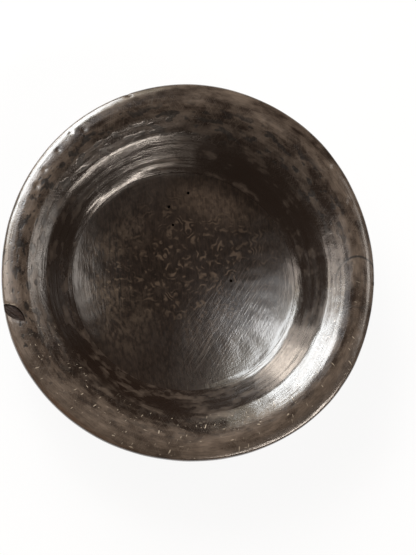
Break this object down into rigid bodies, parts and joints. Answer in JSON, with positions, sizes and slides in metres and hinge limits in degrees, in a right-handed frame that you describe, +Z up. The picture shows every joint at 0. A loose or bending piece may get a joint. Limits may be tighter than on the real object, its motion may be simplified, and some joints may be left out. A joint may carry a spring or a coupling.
{
  "type": "wooden offering bowl",
  "caption": "Shallow round wooden bowl with a sloping wall, a flared lip that rolls over at its edge, a dished floor and a low foot ring, for setting out offerings.",
  "frame": {"origin": "on the table under the middle of the rim", "axes": "+Z up out of the bowl's mouth, +X towards the repaired side of the rim, +Y towards the far side as pictured"},
  "size_m": [0.2061, 0.2124, 0.047],
  "materials": {
    "rim_lacquered_wood": "dark worn lacquer over turned wood, semi-gloss",
    "floor_lacquered_burl": "dark worn lacquer over figured wood, semi-gloss",
    "foot_lacquered_wood": "dark worn lacquer over turned wood, satin",
    "patch_wood": "stained repair wood, semi-gloss",
    "peg_end_grain": "end grain, dull",
    "knot_heartwood": "dead knot, dull"
  },
  "bodies": {
    "root": {"rim_wall": "rim_lacquered_wood", "floor_dish": "floor_lacquered_burl", "foot_ring": "foot_lacquered_wood", "foot_peg_1": "peg_end_grain", "foot_peg_2": "peg_end_grain", "foot_peg_3": "peg_end_grain", "foot_peg_4": "peg_end_grain", "rim_patch": "patch_wood", "patch_peg": "peg_end_grain", "rim_knot": "knot_heartwood"}
  },
  "joints": []
}
